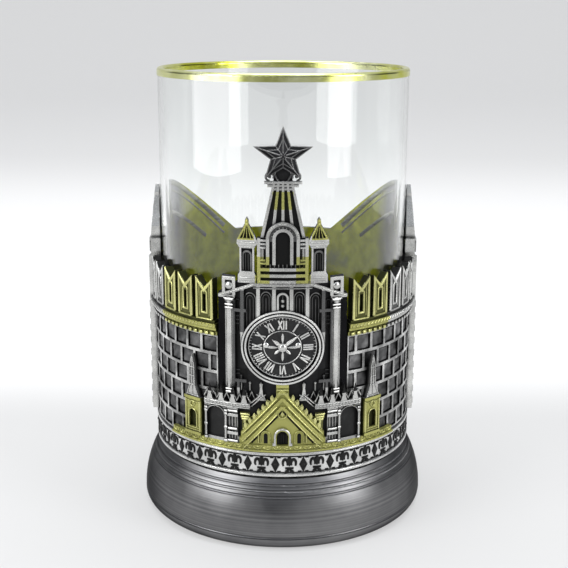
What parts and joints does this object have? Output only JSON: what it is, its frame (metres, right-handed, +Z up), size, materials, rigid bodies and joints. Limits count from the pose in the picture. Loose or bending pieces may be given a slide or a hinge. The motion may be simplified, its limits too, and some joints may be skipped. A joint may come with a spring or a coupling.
{
  "type": "podstakannik tea glass holder",
  "caption": "Metal tea glass holder with a relief of a battlemented wall and clock tower, bow handle and round foot, holding a straight gilt-rimmed glass.",
  "frame": {"origin": "on the axis of the glass, in the plane of the foot's standing face, on the table", "axes": "+Z up along the axis of the glass; the clock tower faces -Y and the handle stands out towards +Y; +X is to the right of someone facing the tower"},
  "size_m": [0.0806, 0.1036, 0.1232],
  "materials": {
    "clear_glass": "clear, polished",
    "gilding": "fired gilt band, bright",
    "plated_foot": "polished plate over spun brass",
    "inner_metal": "smooth, lightly tarnished",
    "dark_relief": "nickel-plated brass, black patina in the hollows",
    "bright_relief": "nickel-plated brass, rubbed bright",
    "gilt_relief": "pale yellow metal, dark in the hollows",
    "black_ground": "nickel-plated brass, black patina",
    "handle_metal": "nickel-plated brass, smooth"
  },
  "bodies": {
    "holder": {"foot_shell": "plated_foot", "floor_plate": "inner_metal", "sleeve_shell": "inner_metal", "ribbon_band": "bright_relief", "brickwork_front_left": "dark_relief", "brickwork_front_right": "dark_relief", "brickwork_rear_left": "dark_relief", "brickwork_rear_right": "dark_relief", "string_course": "gilt_relief", "battlement_left": "gilt_relief", "battlement_right": "gilt_relief", "gate_tower": "dark_relief", "clock_dial": "black_ground", "clock_bezel": "bright_relief", "clock_hands": "bright_relief", "belfry": "dark_relief", "pinnacle_left": "dark_relief", "pinnacle_right": "dark_relief", "spire": "dark_relief", "star": "black_ground", "ground_ledge": "gilt_relief", "gate_porch": "gilt_relief", "parapet_left": "bright_relief", "parapet_right": "bright_relief", "turret_left": "gilt_relief", "turret_right": "gilt_relief", "side_tower_left": "dark_relief", "side_tower_right": "dark_relief", "rear_panel": "inner_metal", "seam_strip": "dark_relief", "handle_plate_upper": "dark_relief", "handle_plate_lower": "dark_relief", "handle_bow": "handle_metal", "thumb_rest": "handle_metal"},
    "glass": {"tea_glass": "clear_glass", "gilt_rim": "gilding"}
  },
  "joints": [
    {"name": "glass_lift", "type": "slide", "parent": "holder", "child": "glass", "axis": [0, 0, 1], "range_m": [0, 0.1]}
  ]
}
